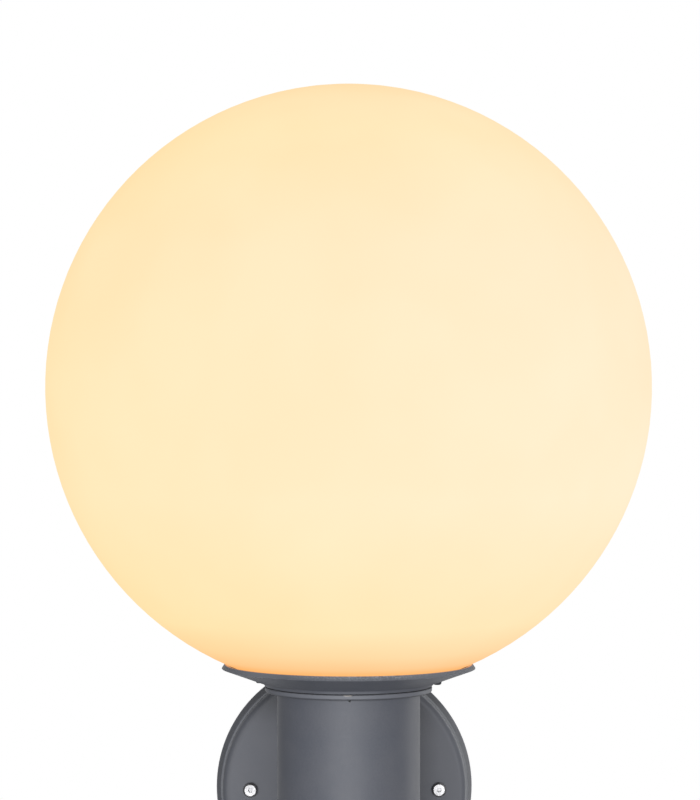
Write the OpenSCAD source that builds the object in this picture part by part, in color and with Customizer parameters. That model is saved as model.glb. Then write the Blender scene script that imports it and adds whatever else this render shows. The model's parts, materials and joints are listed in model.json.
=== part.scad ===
// Outdoor globe wall light: an opal globe in a shallow cast gallery on a short column, with a horizontal
// arm back to a round wall plate.
// Frame: the wall is the plane y = 0, the light stands out towards -Y, +Z is up, and the origin is the
// centre of the wall plate. The arm axis runs along Y through the origin.

/* [Globe] */
// Outside diameter of the globe
globe_d = 300; // [270:5:330]
// Wall of the globe
globe_wall = 3; // [2.4:0.2:3.6]
// Outside diameter of the rim round the globe's opening
neck_d = 78; // [76:0.5:79]
// Wall of that rim
neck_wall = 2.5; // [2:0.5:3]
// Height of that rim below the globe's curve
neck_len = 1.6; // [1.4:0.1:2.2]

/* [Globe lock screws] */
// Distance of each lock screw from the globe's axis
lock_r = 44.1; // [43.8:0.1:45]
// Shank diameter of the lock screws
lock_d = 3; // [2.6:0.1:3.2]
// Head diameter of the lock screws
lock_head_d = 4.4; // [4:0.1:4.6]
// Head height of the lock screws
lock_head_h = 2; // [1.4:0.1:2.1]
// Shank length of the lock screws
lock_len = 9.6; // [9:0.2:10.4]
// How much deeper the left lock screw is sunk than the right one
lock_sink = 1; // [0.4:0.1:1.2]
// Outside diameter of the threaded inserts in the globe
insert_d = 5.2; // [4.6:0.2:5.6]
// Length of the threaded inserts
insert_len = 6; // [5:0.5:8]

/* [Gallery] */
// Diameter over the gallery's lip
lip_d = 126; // [120:1:132]
// Height of the lip's slanted edge
lip_edge = 2.1; // [1.5:0.1:2.5]
// How far that edge leans inwards
lip_lean = 1.4; // [1:0.1:1.8]
// Width of the flat on top of the lip
lip_flat = 0.5; // [0.4:0.1:0.8]
// Diameter at the top of the chamfer round the gallery's foot
root_d = 85.8; // [85:0.2:88]
// Height of that chamfer
root_rise = 1.4; // [1.2:0.1:1.5]
// Thickness of the gallery's floor
web_t = 1.5; // [1.2:0.1:1.7]
// Diameter of the opening in the gallery's floor
web_open_d = 48; // [44:1:49]
// Length of the spigot that plugs into the column
spigot_len = 14; // [12:1:20]
// Wall of the spigot
spigot_wall = 2.3; // [1.8:0.1:2.4]
// Cord diameter of the seal ring under the globe
seal_d = 1.6; // [1.3:0.1:1.7]
// Radius at which the seal ring lies
seal_r = 57; // [54:0.5:58]
// Thickness of the gasket between gallery and column
foot_gasket_t = 0.5; // [0.3:0.1:1]

/* [Column] */
// Outside diameter of the column
col_d = 71; // [69:1:73]
// Wall of the column
col_wall = 2.5; // [2.2:0.1:2.7]
// Height of the column's top flange above the arm axis
col_rise = 73.3; // [65:0.5:90]
// Depth of the column's lower end below the arm axis
col_drop = 55; // [50:1:80]
// Diameter of the top flange
flange_d = 83; // [81:0.5:83]
// Thickness of the top flange
flange_t = 2.5; // [2:0.1:3.5]
// Rounding of the flange's lower edge
flange_round = 0.9; // [0.5:0.1:1.4]
// Width of the nick in the flange that marks the column's front
nick_w = 3.6; // [2:0.2:5]
// How far that nick reaches down and inwards
nick_reach = 0.5; // [0.3:0.1:1]
// Diameter of the dimple drilled below the nick
dimple_d = 1.2; // [0.8:0.1:1.6]
// Thickness of the cap that closes the column's lower end
cap_t = 3; // [2.5:0.5:5]
// Height of the plug on that cap
cap_plug = 6; // [4:0.5:8]
// Diameter of the drain hole in that cap
drain_d = 4; // [3:0.5:6]

/* [Arm] */
// Distance from the wall to the column axis
reach = 165; // [150:1:190]
// Outside diameter of the arm
arm_d = 48; // [46:1:52]
// Wall of the arm
arm_wall = 3.4; // [3:0.1:4]
// Length of the column's stub inside the arm
stub_len = 22; // [18:1:30]
// Wall of the stub
stub_wall = 3.8; // [3:0.1:4.5]

/* [Wall plate] */
// Diameter of the wall plate
plate_d = 142; // [138:1:150]
// Depth of the plate from its back edge to its face
plate_depth = 15; // [14:0.5:20]
// Wall of the plate
plate_wall = 3; // [2.5:0.1:3.4]
// Depth of the drafted outer band
band_depth = 7; // [6:0.5:8]
// How far the outer band leans inwards
band_lean = 2.3; // [1.5:0.1:3]
// Width of the ledge inside the band
ledge_w = 1.4; // [1:0.1:2]
// Rounding of the shoulder up to the face
shoulder_r = 3.5; // [2.5:0.5:4]
// Length of the hub that holds the arm
hub_len = 16; // [12:1:22]
// Wall of the hub at its end
hub_wall = 4; // [3.5:0.5:6]
// Thickness of the gasket against the wall
wall_gasket_t = 2; // [1.5:0.5:3]
// Width of that gasket
wall_gasket_w = 4; // [3:0.5:5]

/* [Wall bracket] */
// Length of the bracket strap
strap_l = 118; // [114:1:122]
// How far the strap reaches past the two screws that hold the plate
strap_end = 7; // [6:0.5:9]
// Width of the bracket strap
strap_w = 32; // [28:1:36]
// Thickness of the bracket
strap_t = 2; // [1.5:0.1:2.5]
// Spacing of the two wall screw slots
slot_pitch = 60; // [56:1:62]
// Length of each slot, end to end
slot_l = 12; // [10:0.5:13]
// Width of each slot
slot_w = 5; // [4:0.5:6]
// Bore of the cable grommet
cable_d = 8; // [6:0.5:10]
// Width of the tab that carries the terminal block
tab_w = 34; // [32:1:40]
// Height of that tab above the strap
tab_h = 28; // [26:1:32]

/* [Terminal block] */
// Length of the terminal block
block_l = 28; // [26:0.5:31]
// Width of the terminal block
block_w = 16; // [15:0.5:18]
// Height of the terminal block
block_h = 10; // [9.5:0.1:10.5]
// Spacing of its three poles
pole_pitch = 8; // [7.5:0.1:8.5]

/* [Lampholder] */
// Diameter of the lampholder
holder_d = 41; // [40:0.5:44]
// Height of the lampholder
holder_h = 50; // [48:1:56]
// Height of the lampholder's bracket
hat_h = 10; // [9.5:0.5:14]
// Width of that bracket
hat_w = 16; // [14:1:18]
// Sheet thickness of that bracket
hat_t = 1.2; // [1:0.1:1.6]
// Thread diameter of the hollow nipple
nipple_d = 10; // [9:0.5:11]
// Bore of the hollow nipple
nipple_bore = 7; // [6.5:0.1:7.4]

/* [Lamp] */
// Overall length of the lamp
lamp_l = 108; // [102:1:114]
// Diameter of the lamp's dome
lamp_d = 60; // [56:1:62]
// Diameter of the lamp's screw cap
cap_thread_d = 26.2; // [25.8:0.1:26.4]
// Length of the lamp's screw cap
cap_thread_l = 20; // [18:1:22]

/* [Fits] */
// Gap between a seated piece and its seat
seat_gap = 0.3; // [0.2:0.05:0.4]
// Gap between the globe and the gallery's curve
globe_gap = 0.4; // [0.3:0.05:0.6]
// Radial gap of a plugged joint
plug_gap = 0.2; // [0.1:0.05:0.3]
// Radial gap round a screw in its thread
thread_gap = 0.05; // [0.03:0.01:0.1]
// Radial gap round a screw in a clearance hole
hole_gap = 0.2; // [0.1:0.05:0.3]
// Gap left between a gasket's edge and the edge above it
inset = 0.3; // [0.2:0.05:0.5]

/* [Hidden] */
$fn = 96;

ANTHRACITE = [0.29, 0.30, 0.32];
OPAL = [1.0, 0.93, 0.80];
STEEL = [0.70, 0.71, 0.72];
BRASS = [0.80, 0.65, 0.35];
EPDM = [0.09, 0.09, 0.09];

// A cut runs this far past a face, so that it leaves no skin
over = 1;

// Globe and gallery: every height follows from the column's top
globe_r = globe_d / 2;
neck_r = neck_d / 2;
neck_bore_r = neck_r - neck_wall;
gallery_z = col_rise + foot_gasket_t;
web_z = gallery_z + web_t;
neck_z = web_z + seat_gap;
globe_z = neck_z + neck_len + sqrt(globe_r * globe_r - neck_r * neck_r);
pocket_r = neck_r + globe_gap;
seat_r = globe_r + globe_gap;
lip_r = lip_d / 2;
lip_in_r = lip_r - lip_lean - lip_flat;
lip_z = globe_z - sqrt(seat_r * seat_r - lip_in_r * lip_in_r);
foot_r = flange_d / 2;
seal_gap = 0.3;
seal_path_r = globe_r + plug_gap + seal_d / 2;
seal_z = globe_z - sqrt(seal_path_r * seal_path_r - seal_r * seal_r);

// Lock screws: the head sits in a spot face, the shank ends in an insert moulded into the globe
lock_seat_z = gallery_z + root_rise + 0.7;
function lock_seat(side) = lock_seat_z + (side < 0 ? lock_sink : 0);
lock_spot_d = lock_head_d + 0.6;
insert_z = globe_z - sqrt(globe_r * globe_r - pow(lock_r + insert_d / 2, 2)) + 0.5;
insert_wall = 2;
insert_pocket_z = max(insert_z + insert_len, lock_seat(-1) + lock_len) + seat_gap;
lock_boss_z = insert_pocket_z + 0.7;

// Column
col_r = col_d / 2;
bore_r = col_r - col_wall;
flange_z = col_rise - flange_t;
spigot_r = bore_r - plug_gap;
spigot_bore_r = spigot_r - spigot_wall;
dimple_depth = 1.6;
dimple_z = flange_z - dimple_d / 2 - 0.1;
spigot_screw_d = 3;
spigot_screw_z = flange_z - 1.7;
spigot_screw_angles = [45, 135];
socket_d = 1.8;
socket_depth = 1.2;
cap_screw_d = 3;
cap_screw_head_d = 5.6;
cap_screw_head_h = 2;
cap_boss_r = 3.6;
cap_boss_h = 12;
cap_screw_r = bore_r - cap_boss_r + 0.5;
cap_plug_z = -col_drop + cap_plug;
cap_screw_top = cap_plug_z + seat_gap + cap_boss_h - 4;

// Arm
arm_r = arm_d / 2;
arm_bore_r = arm_r - arm_wall;
stub_r = arm_bore_r - plug_gap;
stub_bore_r = stub_r - stub_wall;
stub_y = -reach + col_r + stub_len;
set_screw_d = 4;
stub_screw_y = stub_y - stub_len / 2;

// Wall plate, drawn as distances out from the wall
plate_r = plate_d / 2;
face_out = wall_gasket_t + plate_depth;
inner_out = face_out - plate_wall;
hub_bore_r = arm_r + plug_gap;
hub_r = hub_bore_r + hub_wall;
hub_out = face_out + hub_len;
hub_flare = 2;
plate_open_r = arm_bore_r - 1.6;
hub_screw_angles = [-45, 45];
hub_screw_out = hub_out - 6;
gasket_out_r = plate_r - inset;
plate_screw_d = 4;
plate_screw_pitch = strap_l - 2 * strap_end;
plate_screw_head_d = 8;
plate_screw_head_h = 2.6;
bush_d = 8;

// Wall bracket and what it carries
grommet_groove_r = 9;
grommet_flange_r = 11.5;
grommet_flange_t = 1.5;
earth_x = 8 - plate_screw_pitch / 2;
earth_z = 9;
earth_d = 4;
earth_head_d = 7;
earth_head_h = 2.4;
earth_washer_t = 0.8;
block_z = strap_w / 2 + tab_h - block_w / 2 - 1;
block_screw_d = 3;
block_screw_head_d = 5.4;
block_screw_head_h = (block_screw_head_d - block_screw_d) / 2;
block_screw_bite = 2.2;
sleeve_d = 4.6;
sleeve_bore = 3.2;
sleeve_out = strap_t + block_h / 2;
pole_screw_d = 3;
pole_screw_l = 2.4;
driver_slot = 0.6;

// Lampholder
hat_z = web_z;
hat_top_z = hat_z + hat_h;
hat_foot_x = neck_bore_r - 1.5;
hat_leg_x = 21.5;
hat_screw_d = 3;
hat_screw_x = (hat_leg_x + spigot_bore_r) / 2 + 0.8;
hat_screw_boss_r = 2.9;
hat_screw_boss_h = 5;
hat_screw_head_d = 5;
hat_screw_head_h = 2;
nut_across = 14;
nut_t = 2.6;
nipple_below = 6;
nipple_in = 9;
holder_pocket = nipple_in + 0.5;
contact_h = 3;
tip_h = 1.5;
insulator_h = 3.5;
lamp_cap_z = tip_h + insulator_h;
lamp_body_z = lamp_cap_z + cap_thread_l;
holder_floor = holder_h - lamp_body_z - contact_h;
shell_r = cap_thread_d / 2 + 1;
shell_bore_r = cap_thread_d / 2 + seat_gap;

// Lamp, drawn up from its tip
lamp_z = hat_top_z + holder_floor + contact_h + seat_gap;
dome_r = lamp_d / 2;
dome_z = lamp_l - dome_r;
dome_base_z = dome_z - 0.4 * dome_r;
dome_base_r = sqrt(dome_r * dome_r - pow(dome_z - dome_base_z, 2));
dome_wall = 1.2;
body_waist_r = cap_thread_d / 2 + 1;

// Wires: routes chosen by hand in round numbers, ends tied to what they meet
wire_d = 2.2;
wire_sides = 8;
wire_bend = 7;
wire_steps = 5;
wire_top_z = hat_top_z + holder_pocket;
wire_low_z = block_z - block_w / 2 + 3;
lug_x = 14;
lug_ring_r = 4;
lug_bore = 3.4;
lug_t = 0.8;
lug_barrel_d = 3.4;
lug_barrel_h = 7;
lug_z = hat_top_z - hat_t - lug_t;
lug_barrel_x = lug_x + 2.4;
column_route = [[-6, -reach + 5, 6], [-4, -reach + 2, 34], [-1.5, -reach, 58]];

// Turns a shape drawn up the Z axis so that it stands out from the wall
module out_from_wall(distance = 0) {
    translate([0, -distance, 0]) rotate([90, 0, 0]) children();
}

// Places a shape on the column axis
module on_column(z = 0) {
    translate([0, -reach, z]) children();
}

// Points a shape drawn up the Z axis along a radius of the column
module radial(angle, z) {
    on_column(z) rotate([0, 0, angle]) rotate([0, 90, 0]) children();
}

// Points a shape drawn up the Z axis downwards along a radius of the arm
module under_arm(angle, y) {
    translate([0, y, 0]) rotate([0, angle, 0]) rotate([180, 0, 0]) children();
}

// Arc of points in a plane
function arc(centre, r, from, to, steps) =
    [for (i = [0:steps]) let(a = from + (to - from) * i / steps) centre + r * [cos(a), sin(a)]];

// Headless screw with a hexagon socket in its outer end, drawn from its tip at z = 0
module grub(d, l) {
    difference() {
        cylinder(d = d, h = l);
        translate([0, 0, l - socket_depth]) cylinder(d = socket_d, h = socket_depth + over, $fn = 6);
    }
}

// Pan-head screw, with the head above z = 0 and the shank below it
module pan_screw(d, l, head_d, head_h) {
    edge = head_h / 3;
    difference() {
        union() {
            translate([0, 0, -l]) cylinder(d = d, h = l);
            cylinder(d = head_d, h = head_h - edge);
            translate([0, 0, head_h - edge]) cylinder(d1 = head_d, d2 = head_d - 2 * edge, h = edge);
        }
        translate([0, 0, head_h - socket_depth]) cylinder(d = d * 0.6, h = socket_depth + over, $fn = 6);
    }
}

// Opal sphere with a short rim at its opening and two bosses for the threaded inserts
module globe() {
    color(OPAL) difference() {
        union() {
            difference() {
                union() {
                    on_column(globe_z) sphere(r = globe_r, $fn = 180);
                    on_column(neck_z) cylinder(r = neck_r, h = neck_len + globe_wall);
                }
                on_column(globe_z) sphere(r = globe_r - globe_wall, $fn = 180);
            }
            intersection() {
                for (side = [-1, 1]) {
                    translate([side * lock_r, -reach, 0])
                        cylinder(d = insert_d + 2 * insert_wall, h = lock_boss_z);
                }
                on_column(globe_z) sphere(r = globe_r - globe_wall / 2, $fn = 180);
            }
        }
        on_column(globe_z - globe_r - over) cylinder(r = neck_bore_r, h = globe_r);
        for (side = [-1, 1]) {
            translate([side * lock_r, -reach, 0]) {
                cylinder(d = lock_d + 2 * hole_gap, h = insert_z + over);
                translate([0, 0, insert_z])
                    cylinder(d = insert_d + 2 * thread_gap, h = insert_pocket_z - insert_z);
            }
        }
    }
}

// Brass inserts that the lock screws thread into
module globe_inserts() {
    color(BRASS) for (side = [-1, 1]) {
        translate([side * lock_r, -reach, insert_z]) difference() {
            cylinder(d = insert_d, h = insert_len);
            translate([0, 0, -over]) cylinder(d = lock_d + 2 * thread_gap, h = insert_len + 2 * over);
        }
    }
}

// Ring on which the globe beds
module globe_seal() {
    color(EPDM) on_column() rotate_extrude() translate([seal_r, seal_z]) circle(d = seal_d, $fn = 32);
}

// Shallow cast dish whose inside follows the globe, with a floor and a spigot for the column
module gallery() {
    section = [
        [0, gallery_z - spigot_len],
        [spigot_r, gallery_z - spigot_len],
        [spigot_r, gallery_z],
        [foot_r, gallery_z],
        [root_d / 2, gallery_z + root_rise],
        [lip_r, lip_z - lip_edge],
        [lip_r - lip_lean, lip_z],
        [0, lip_z]
    ];
    color(ANTHRACITE) difference() {
        on_column() rotate_extrude() polygon(section);
        difference() {
            on_column(globe_z) sphere(r = seat_r, $fn = 180);
            on_column() cylinder(r = pocket_r, h = globe_z);
        }
        on_column(web_z) cylinder(r = pocket_r, h = lip_z);
        on_column(gallery_z - spigot_len - over) difference() {
            cylinder(r = spigot_bore_r, h = spigot_len + over);
            for (side = [-1, 1]) {
                translate([side * hat_screw_x, 0, over + spigot_len - hat_screw_boss_h])
                    cylinder(r = hat_screw_boss_r, h = hat_screw_boss_h + over);
            }
        }
        on_column(gallery_z - over) cylinder(d = web_open_d, h = web_t + 2 * over);
        for (side = [-1, 1]) {
            translate([side * hat_screw_x, -reach, gallery_z - hat_screw_boss_h - over])
                cylinder(d = hat_screw_d + 2 * thread_gap, h = hat_screw_boss_h + web_t + 2 * over);
            translate([side * lock_r, -reach, gallery_z - over]) {
                cylinder(d = lock_d + 2 * hole_gap, h = lip_z);
                cylinder(d = lock_spot_d, h = lock_seat(side) - gallery_z + over);
            }
        }
        on_column() rotate_extrude() translate([seal_r, seal_z])
            circle(d = seal_d + 2 * seal_gap, $fn = 32);
    }
}

// Domed screw that comes up through the gallery from below
module lock_screw(side) {
    dome = lock_head_h * 0.5;
    color(STEEL) translate([side * lock_r, -reach, lock_seat(side)]) difference() {
        union() {
            cylinder(d = lock_d, h = lock_len);
            translate([0, 0, dome - lock_head_h]) cylinder(d = lock_head_d, h = lock_head_h - dome);
            translate([0, 0, -lock_head_h]) cylinder(d1 = lock_head_d - 1.4, d2 = lock_head_d, h = dome);
        }
        translate([0, 0, -lock_head_h - over]) cylinder(d = socket_d, h = socket_depth + over, $fn = 6);
    }
}

module lock_screw_left() {
    lock_screw(-1);
}

module lock_screw_right() {
    lock_screw(1);
}

// Flat ring between gallery and column
module foot_gasket() {
    color(EPDM) on_column(col_rise) difference() {
        cylinder(r = foot_r - inset, h = foot_gasket_t);
        translate([0, 0, -over]) cylinder(r = bore_r, h = foot_gasket_t + 2 * over);
    }
}

// Headless screws through the column that hold the gallery's spigot
module spigot_screws() {
    color(STEEL) for (angle = spigot_screw_angles) {
        radial(angle, spigot_screw_z) translate([0, 0, spigot_r + thread_gap])
            grub(spigot_screw_d, col_r - spigot_r - 2 * thread_gap);
    }
}

// Nick in the flange's upper edge and dimple below it, which mark the front when the light is assembled
module setting_mark() {
    nick_side = sqrt(2) * nick_reach;
    translate([0, -reach - foot_r, col_rise]) rotate([45, 0, 0])
        cube([nick_w, nick_side, nick_side], center = true);
    radial(-90, dimple_z) translate([0, 0, col_r - dimple_depth])
        cylinder(d = dimple_d, h = dimple_depth + over);
}

// Cast column with its top flange and the stub that carries it on the arm
module column() {
    flange = concat(
        [[bore_r, flange_z - over], [col_r - over / 2, flange_z - over], [col_r - over / 2, flange_z]],
        arc([foot_r - flange_round, flange_z + flange_round], flange_round, -90, 0, 6),
        [[foot_r, col_rise - 0.3], [foot_r - 0.3, col_rise], [bore_r, col_rise]]
    );
    color(ANTHRACITE) difference() {
        union() {
            on_column(-col_drop) difference() {
                cylinder(r = col_r, h = col_drop + flange_z + flange_t / 2);
                translate([0, 0, -over]) cylinder(r = bore_r, h = col_drop + col_rise + 2 * over);
            }
            on_column() rotate_extrude() polygon(flange);
            difference() {
                translate([0, stub_y, 0]) rotate([90, 0, 0]) cylinder(r = stub_r, h = col_r + stub_len);
                on_column(-col_drop) cylinder(r = bore_r, h = col_drop + col_rise);
            }
            intersection() {
                for (side = [-1, 1]) {
                    translate([side * cap_screw_r, -reach, cap_plug_z + seat_gap])
                        cylinder(r = cap_boss_r, h = cap_boss_h);
                }
                on_column(-col_drop) cylinder(r = col_r - col_wall / 2, h = col_drop);
            }
        }
        translate([0, stub_y + over, 0]) rotate([90, 0, 0])
            cylinder(r = stub_bore_r, h = col_r + stub_len + over);
        for (angle = spigot_screw_angles) {
            radial(angle, spigot_screw_z) translate([0, 0, bore_r - over])
                cylinder(d = spigot_screw_d + 2 * thread_gap, h = col_wall + 2 * over);
        }
        for (side = [-1, 1]) {
            translate([side * cap_screw_r, -reach, cap_plug_z])
                cylinder(d = cap_screw_d + 2 * thread_gap, h = cap_boss_h - 1);
        }
        setting_mark();
    }
}

// Cap that plugs the column's lower end, with a drain hole
module column_cap() {
    edge = 0.8;
    section = [
        [0, -col_drop - cap_t],
        [col_r - edge, -col_drop - cap_t],
        [col_r, -col_drop - cap_t + edge],
        [col_r, -col_drop],
        [bore_r - plug_gap, -col_drop],
        [bore_r - plug_gap, cap_plug_z],
        [0, cap_plug_z]
    ];
    color(ANTHRACITE) difference() {
        on_column() rotate_extrude() polygon(section);
        on_column(-col_drop - cap_t - over) cylinder(d = drain_d, h = cap_t + cap_plug + 2 * over);
        for (side = [-1, 1]) {
            translate([side * cap_screw_r, -reach, -col_drop - cap_t - over]) {
                cylinder(d = cap_screw_d + 2 * hole_gap, h = cap_t + cap_plug + 2 * over);
                cylinder(d = cap_screw_head_d + 2 * hole_gap, h = cap_screw_head_h + 0.4 + over);
            }
        }
    }
}

// Screws that hold the cap to the bosses inside the column
module cap_screws() {
    head_z = -col_drop - cap_t + cap_screw_head_h + 0.4;
    color(STEEL) for (side = [-1, 1]) {
        translate([side * cap_screw_r, -reach, head_z]) rotate([180, 0, 0])
            pan_screw(cap_screw_d, cap_screw_top - head_z, cap_screw_head_d, cap_screw_head_h);
    }
}

// Tube from the wall plate to the column, saddled to the column's curve
module arm() {
    color(ANTHRACITE) difference() {
        out_from_wall(face_out + seat_gap) cylinder(r = arm_r, h = reach - face_out - seat_gap);
        out_from_wall(face_out - over) cylinder(r = arm_bore_r, h = reach);
        on_column(-arm_d) cylinder(r = col_r + seat_gap, h = 2 * arm_d);
        under_arm(0, stub_screw_y) cylinder(d = set_screw_d + 2 * thread_gap, h = arm_d);
    }
}

// Headless screws that lock the arm to the stub and to the hub
module arm_set_screws() {
    color(STEEL) {
        under_arm(0, stub_screw_y) translate([0, 0, stub_r + thread_gap])
            grub(set_screw_d, arm_r - stub_r - 2 * thread_gap);
        for (angle = hub_screw_angles) {
            under_arm(angle, -hub_screw_out) translate([0, 0, arm_r + thread_gap])
                grub(set_screw_d, hub_wall);
        }
    }
}

// Round cast cover: drafted band, narrow ledge, rounded shoulder, flat face and the hub for the arm
module wall_plate() {
    ledge_out = wall_gasket_t + band_depth;
    band_r = plate_r - band_lean;
    face_r = band_r - ledge_w - shoulder_r;
    skin = plate_wall;
    front = concat(
        [[plate_r, wall_gasket_t], [band_r, ledge_out - 0.5], [band_r - 0.4, ledge_out]],
        [[band_r - ledge_w, ledge_out + 0.2]],
        arc([face_r, face_out - shoulder_r], shoulder_r, 0, 90, 8),
        arc([hub_r + hub_flare + 1, face_out + hub_flare], hub_flare, 270, 180, 5),
        [[hub_r, hub_out - 0.6], [hub_r - 0.6, hub_out], [hub_bore_r, hub_out]]
    );
    back = concat(
        [[hub_bore_r, face_out], [plate_open_r, face_out], [plate_open_r, inner_out]],
        arc([face_r - 1, inner_out - 2], 2, 90, 0, 4),
        [[band_r - ledge_w - skin, ledge_out - 1], [plate_r - skin, wall_gasket_t]]
    );
    color(ANTHRACITE) difference() {
        out_from_wall() rotate_extrude() polygon(concat(front, back));
        for (side = [-1, 1]) {
            translate([side * plate_screw_pitch / 2, 0, 0]) out_from_wall(inner_out - over)
                cylinder(d = plate_screw_d + 2 * hole_gap, h = plate_wall + 2 * over);
        }
        for (angle = hub_screw_angles) {
            under_arm(angle, -hub_screw_out) translate([0, 0, arm_r])
                cylinder(d = set_screw_d + 2 * thread_gap, h = hub_wall + hub_flare + over);
        }
    }
}

// Soft ring between the plate and the wall
module wall_gasket() {
    color(EPDM) out_from_wall() difference() {
        cylinder(r = gasket_out_r, h = wall_gasket_t);
        translate([0, 0, -over]) cylinder(r = gasket_out_r - wall_gasket_w, h = wall_gasket_t + 2 * over);
    }
}

// Screws through the plate's face into the bracket's bushes
module plate_screws() {
    shank = face_out - strap_t - 2;
    color(STEEL) for (side = [-1, 1]) {
        translate([side * plate_screw_pitch / 2, 0, 0]) out_from_wall(face_out)
            pan_screw(plate_screw_d, shank, plate_screw_head_d, plate_screw_head_h);
    }
}

// Hole with round ends, along X
module slot(l, w, h) {
    for (side = [-1, 1]) {
        translate([side * (l - w) / 2, 0, 0]) cylinder(d = w, h = h);
    }
    translate([-(l - w) / 2, -w / 2, 0]) cube([l - w, w, h]);
}

// Steel strap screwed to the wall, with a tab for the terminal block
module wall_bracket() {
    round_r = 4;
    color(STEEL) out_from_wall() difference() {
        union() {
            translate([-strap_l / 2, -strap_w / 2 + round_r, 0])
                cube([strap_l, strap_w - 2 * round_r, strap_t]);
            translate([-strap_l / 2 + round_r, -strap_w / 2, 0])
                cube([strap_l - 2 * round_r, strap_w, strap_t]);
            for (sx = [-1, 1], sz = [-1, 1]) {
                translate([sx * (strap_l / 2 - round_r), sz * (strap_w / 2 - round_r), 0])
                    cylinder(r = round_r, h = strap_t);
            }
            translate([-tab_w / 2, 0, 0]) cube([tab_w, strap_w / 2 + tab_h, strap_t]);
        }
        for (side = [-1, 1]) {
            translate([side * slot_pitch / 2, 0, -over]) slot(slot_l, slot_w, strap_t + 2 * over);
        }
        translate([0, 0, -over]) cylinder(r = grommet_groove_r + plug_gap, h = strap_t + 2 * over);
        translate([earth_x, earth_z, -over])
            cylinder(d = earth_d + 2 * thread_gap, h = strap_t + 2 * over);
        translate([0, block_z, 0]) {
            translate([0, 0, -over]) cylinder(d = block_screw_d + 2 * thread_gap, h = strap_t + 2 * over);
            translate([0, 0, thread_gap - over]) cylinder(
                d1 = block_screw_head_d + 2 * over, d2 = block_screw_d, h = block_screw_head_h + over
            );
        }
    }
}

// Threaded bushes riveted to the strap
module bracket_bushes() {
    color(STEEL) for (side = [-1, 1]) {
        translate([side * plate_screw_pitch / 2, 0, 0]) out_from_wall(strap_t) difference() {
            cylinder(d = bush_d, h = inner_out - strap_t - seat_gap);
            translate([0, 0, 1]) cylinder(d = plate_screw_d + 2 * thread_gap, h = inner_out);
        }
    }
}

// Rubber grommet round the supply cable's entry
module cable_grommet() {
    section = [
        [cable_d / 2, 0],
        [grommet_groove_r, 0],
        [grommet_groove_r, strap_t],
        [grommet_flange_r, strap_t],
        [grommet_flange_r - 0.6, strap_t + grommet_flange_t],
        [cable_d / 2, strap_t + grommet_flange_t]
    ];
    color(EPDM) out_from_wall() rotate_extrude() polygon(section);
}

module earth_screw() {
    color(BRASS) translate([earth_x, 0, earth_z]) out_from_wall(strap_t + earth_washer_t)
        pan_screw(earth_d, strap_t + earth_washer_t, earth_head_d, earth_head_h);
}

module earth_washer() {
    color(BRASS) translate([earth_x, 0, earth_z]) out_from_wall(strap_t) difference() {
        cylinder(d = earth_head_d + 1, h = earth_washer_t);
        translate([0, 0, -over]) cylinder(d = earth_d + 2 * hole_gap, h = earth_washer_t + 2 * over);
    }
}

// Three-pole block on the bracket's tab
module terminal_block() {
    color([0.93, 0.92, 0.88]) difference() {
        translate([-block_l / 2, -strap_t - block_h, block_z - block_w / 2])
            cube([block_l, block_h, block_w]);
        for (pole = [-1:1]) {
            translate([pole * pole_pitch, -sleeve_out, block_z - block_w / 2 - over])
                cylinder(d = sleeve_d + 2 * thread_gap, h = block_w + 2 * over);
            for (end = [-1, 1]) {
                translate([pole * pole_pitch, 0, block_z + end * block_w / 4]) out_from_wall(sleeve_out)
                    cylinder(d = pole_screw_d + 2 * hole_gap, h = block_h);
            }
        }
        translate([0, 0, block_z]) out_from_wall()
            cylinder(d = block_screw_d + 2 * thread_gap, h = strap_t + block_screw_bite + thread_gap);
        for (gap = [-1, 1]) {
            translate([gap * pole_pitch / 2 - 0.5, -strap_t - block_h - over, block_z - block_w / 2 - over])
                cube([1, over + 2, block_w + 2 * over]);
        }
    }
}

// Brass sleeves that join the wires in each pole
module terminal_sleeves() {
    color(BRASS) for (pole = [-1:1]) {
        translate([pole * pole_pitch, -sleeve_out, block_z - block_w / 2 + 0.5]) difference() {
            cylinder(d = sleeve_d, h = block_w - 1);
            translate([0, 0, -over]) cylinder(d = sleeve_bore, h = block_w + over);
        }
    }
}

// Clamping screws, two for each pole
module terminal_screws() {
    color(STEEL) for (pole = [-1:1], end = [-1, 1]) {
        translate([pole * pole_pitch, 0, block_z + end * block_w / 4])
            out_from_wall(sleeve_out + sleeve_d / 2 + thread_gap) difference() {
                cylinder(d = pole_screw_d, h = pole_screw_l);
                translate([-pole_screw_d, -driver_slot / 2, pole_screw_l - driver_slot])
                    cube([2 * pole_screw_d, driver_slot, 2 * driver_slot]);
            }
    }
}

// Countersunk screw that holds the block to the tab from behind
module block_screw() {
    color(STEEL) translate([0, 0, block_z]) out_from_wall() {
        cylinder(d = block_screw_d, h = strap_t + block_screw_bite);
        cylinder(d1 = block_screw_head_d, d2 = block_screw_d, h = block_screw_head_h);
    }
}

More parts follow.
